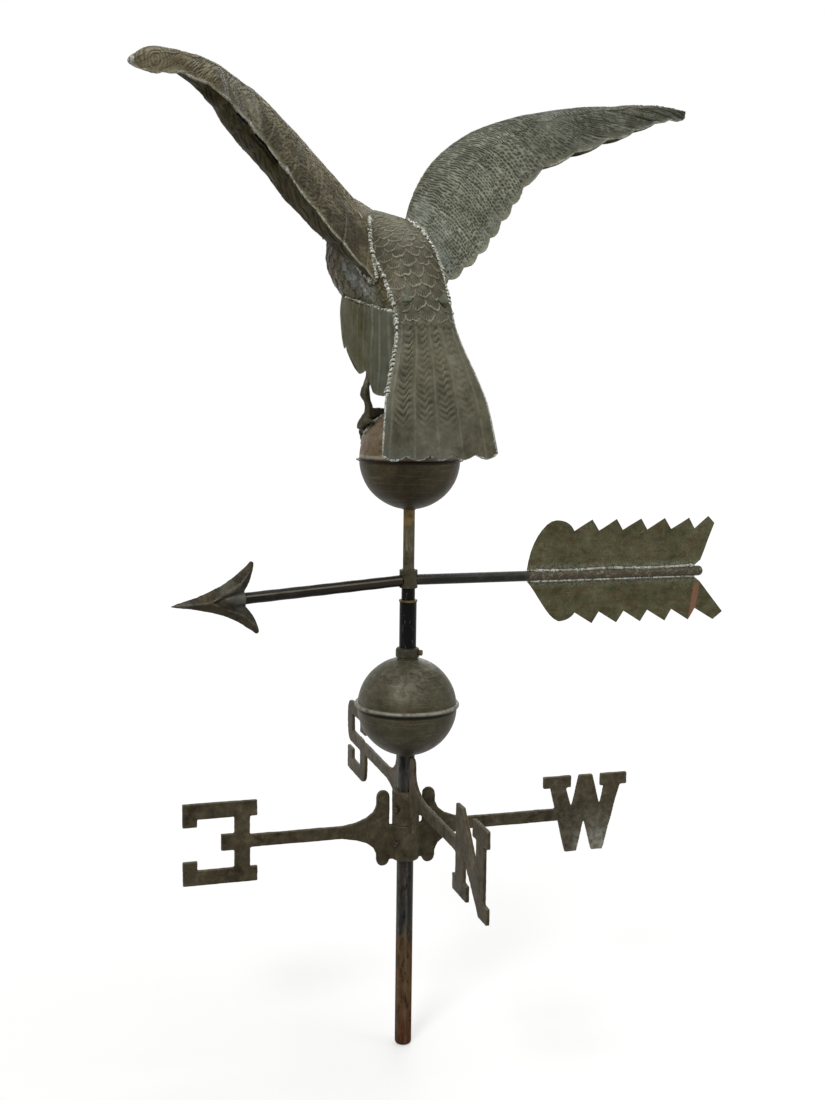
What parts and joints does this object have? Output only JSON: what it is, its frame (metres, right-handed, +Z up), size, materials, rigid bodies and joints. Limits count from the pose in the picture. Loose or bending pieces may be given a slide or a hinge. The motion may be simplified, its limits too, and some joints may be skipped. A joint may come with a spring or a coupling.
{
  "type": "weathervane",
  "caption": "Hollow eagle with raised wings on a ball, turning with an arrow on a mast rod above fixed N, S, E and W arms.",
  "frame": {"origin": "centre of the flat foot of the mast rod", "axes": "+Z up along the mast; the N arm points to -Y, S to +Y, E to -X and W to +X; the arrow points to -X at rest"},
  "size_m": [0.6988, 0.5445, 1.0675],
  "materials": {
    "mast_iron": "worn black paint over rusty iron",
    "bearing_steel": "bright steel",
    "bush_brass": "dull brass",
    "casting_brass": "dark brown patina on cast brass",
    "screw_steel": "tarnished steel",
    "lower_ball_copper": "dark olive brown patina",
    "upper_ball_copper": "dark reddish brown patina",
    "hub_brass": "dark patina",
    "arrow_copper": "dark patina",
    "fletching_copper": "olive green patina with brown patches",
    "body_copper": "olive brown patina",
    "wing_copper": "grey and brown patina",
    "thigh_copper": "grey olive patina",
    "leg_copper": "dark patina"
  },
  "bodies": {
    "mast": {"mast_rod": "mast_iron", "bearing_ball": "bearing_steel", "mast_bush": "bush_brass", "lower_ball_upper_half": "lower_ball_copper", "lower_ball_lower_half": "lower_ball_copper", "lower_ball_inner_tube": "bush_brass", "ball_collar": "mast_iron", "collar_screw": "bush_brass"},
    "east_west_arms": {"east_west_directional": "casting_brass", "east_west_set_screw": "screw_steel"},
    "north_south_arms": {"north_south_directional": "casting_brass", "north_south_set_screw": "screw_steel"},
    "vane": {"vane_stem": "mast_iron", "stem_spacer": "mast_iron", "arrow_hub": "hub_brass", "arrow_front_rod": "mast_iron", "arrow_head": "arrow_copper", "arrow_rear_tube": "arrow_copper", "arrow_end_plug": "arrow_copper", "fletching_upper_sheet": "fletching_copper", "fletching_lower_sheet": "fletching_copper", "upper_ball_upper_half": "upper_ball_copper", "upper_ball_lower_half": "upper_ball_copper", "upper_ball_inner_tube": "bush_brass", "eagle_back_shell": "body_copper", "eagle_breast_shell": "body_copper", "eagle_head": "body_copper", "left_wing_top_shell": "wing_copper", "left_wing_under_shell": "wing_copper", "right_wing_top_shell": "wing_copper", "right_wing_under_shell": "wing_copper", "left_thigh": "thigh_copper", "right_thigh": "thigh_copper", "left_foot": "leg_copper", "right_foot": "leg_copper"}
  },
  "joints": [
    {"name": "vane_spin", "type": "hinge", "parent": "mast", "child": "vane", "pos_m": [0, 0, 0.5], "axis": [0, 0, 1], "continuous": true},
    {"name": "east_west_turn", "type": "hinge", "parent": "mast", "child": "east_west_arms", "pos_m": [0, 0, 0.2424], "axis": [0, 0, 1], "continuous": true},
    {"name": "north_south_turn", "type": "hinge", "parent": "east_west_arms", "child": "north_south_arms", "pos_m": [0, 0, 0.282], "axis": [0, 0, 1], "range_deg": [-70, 70]}
  ]
}
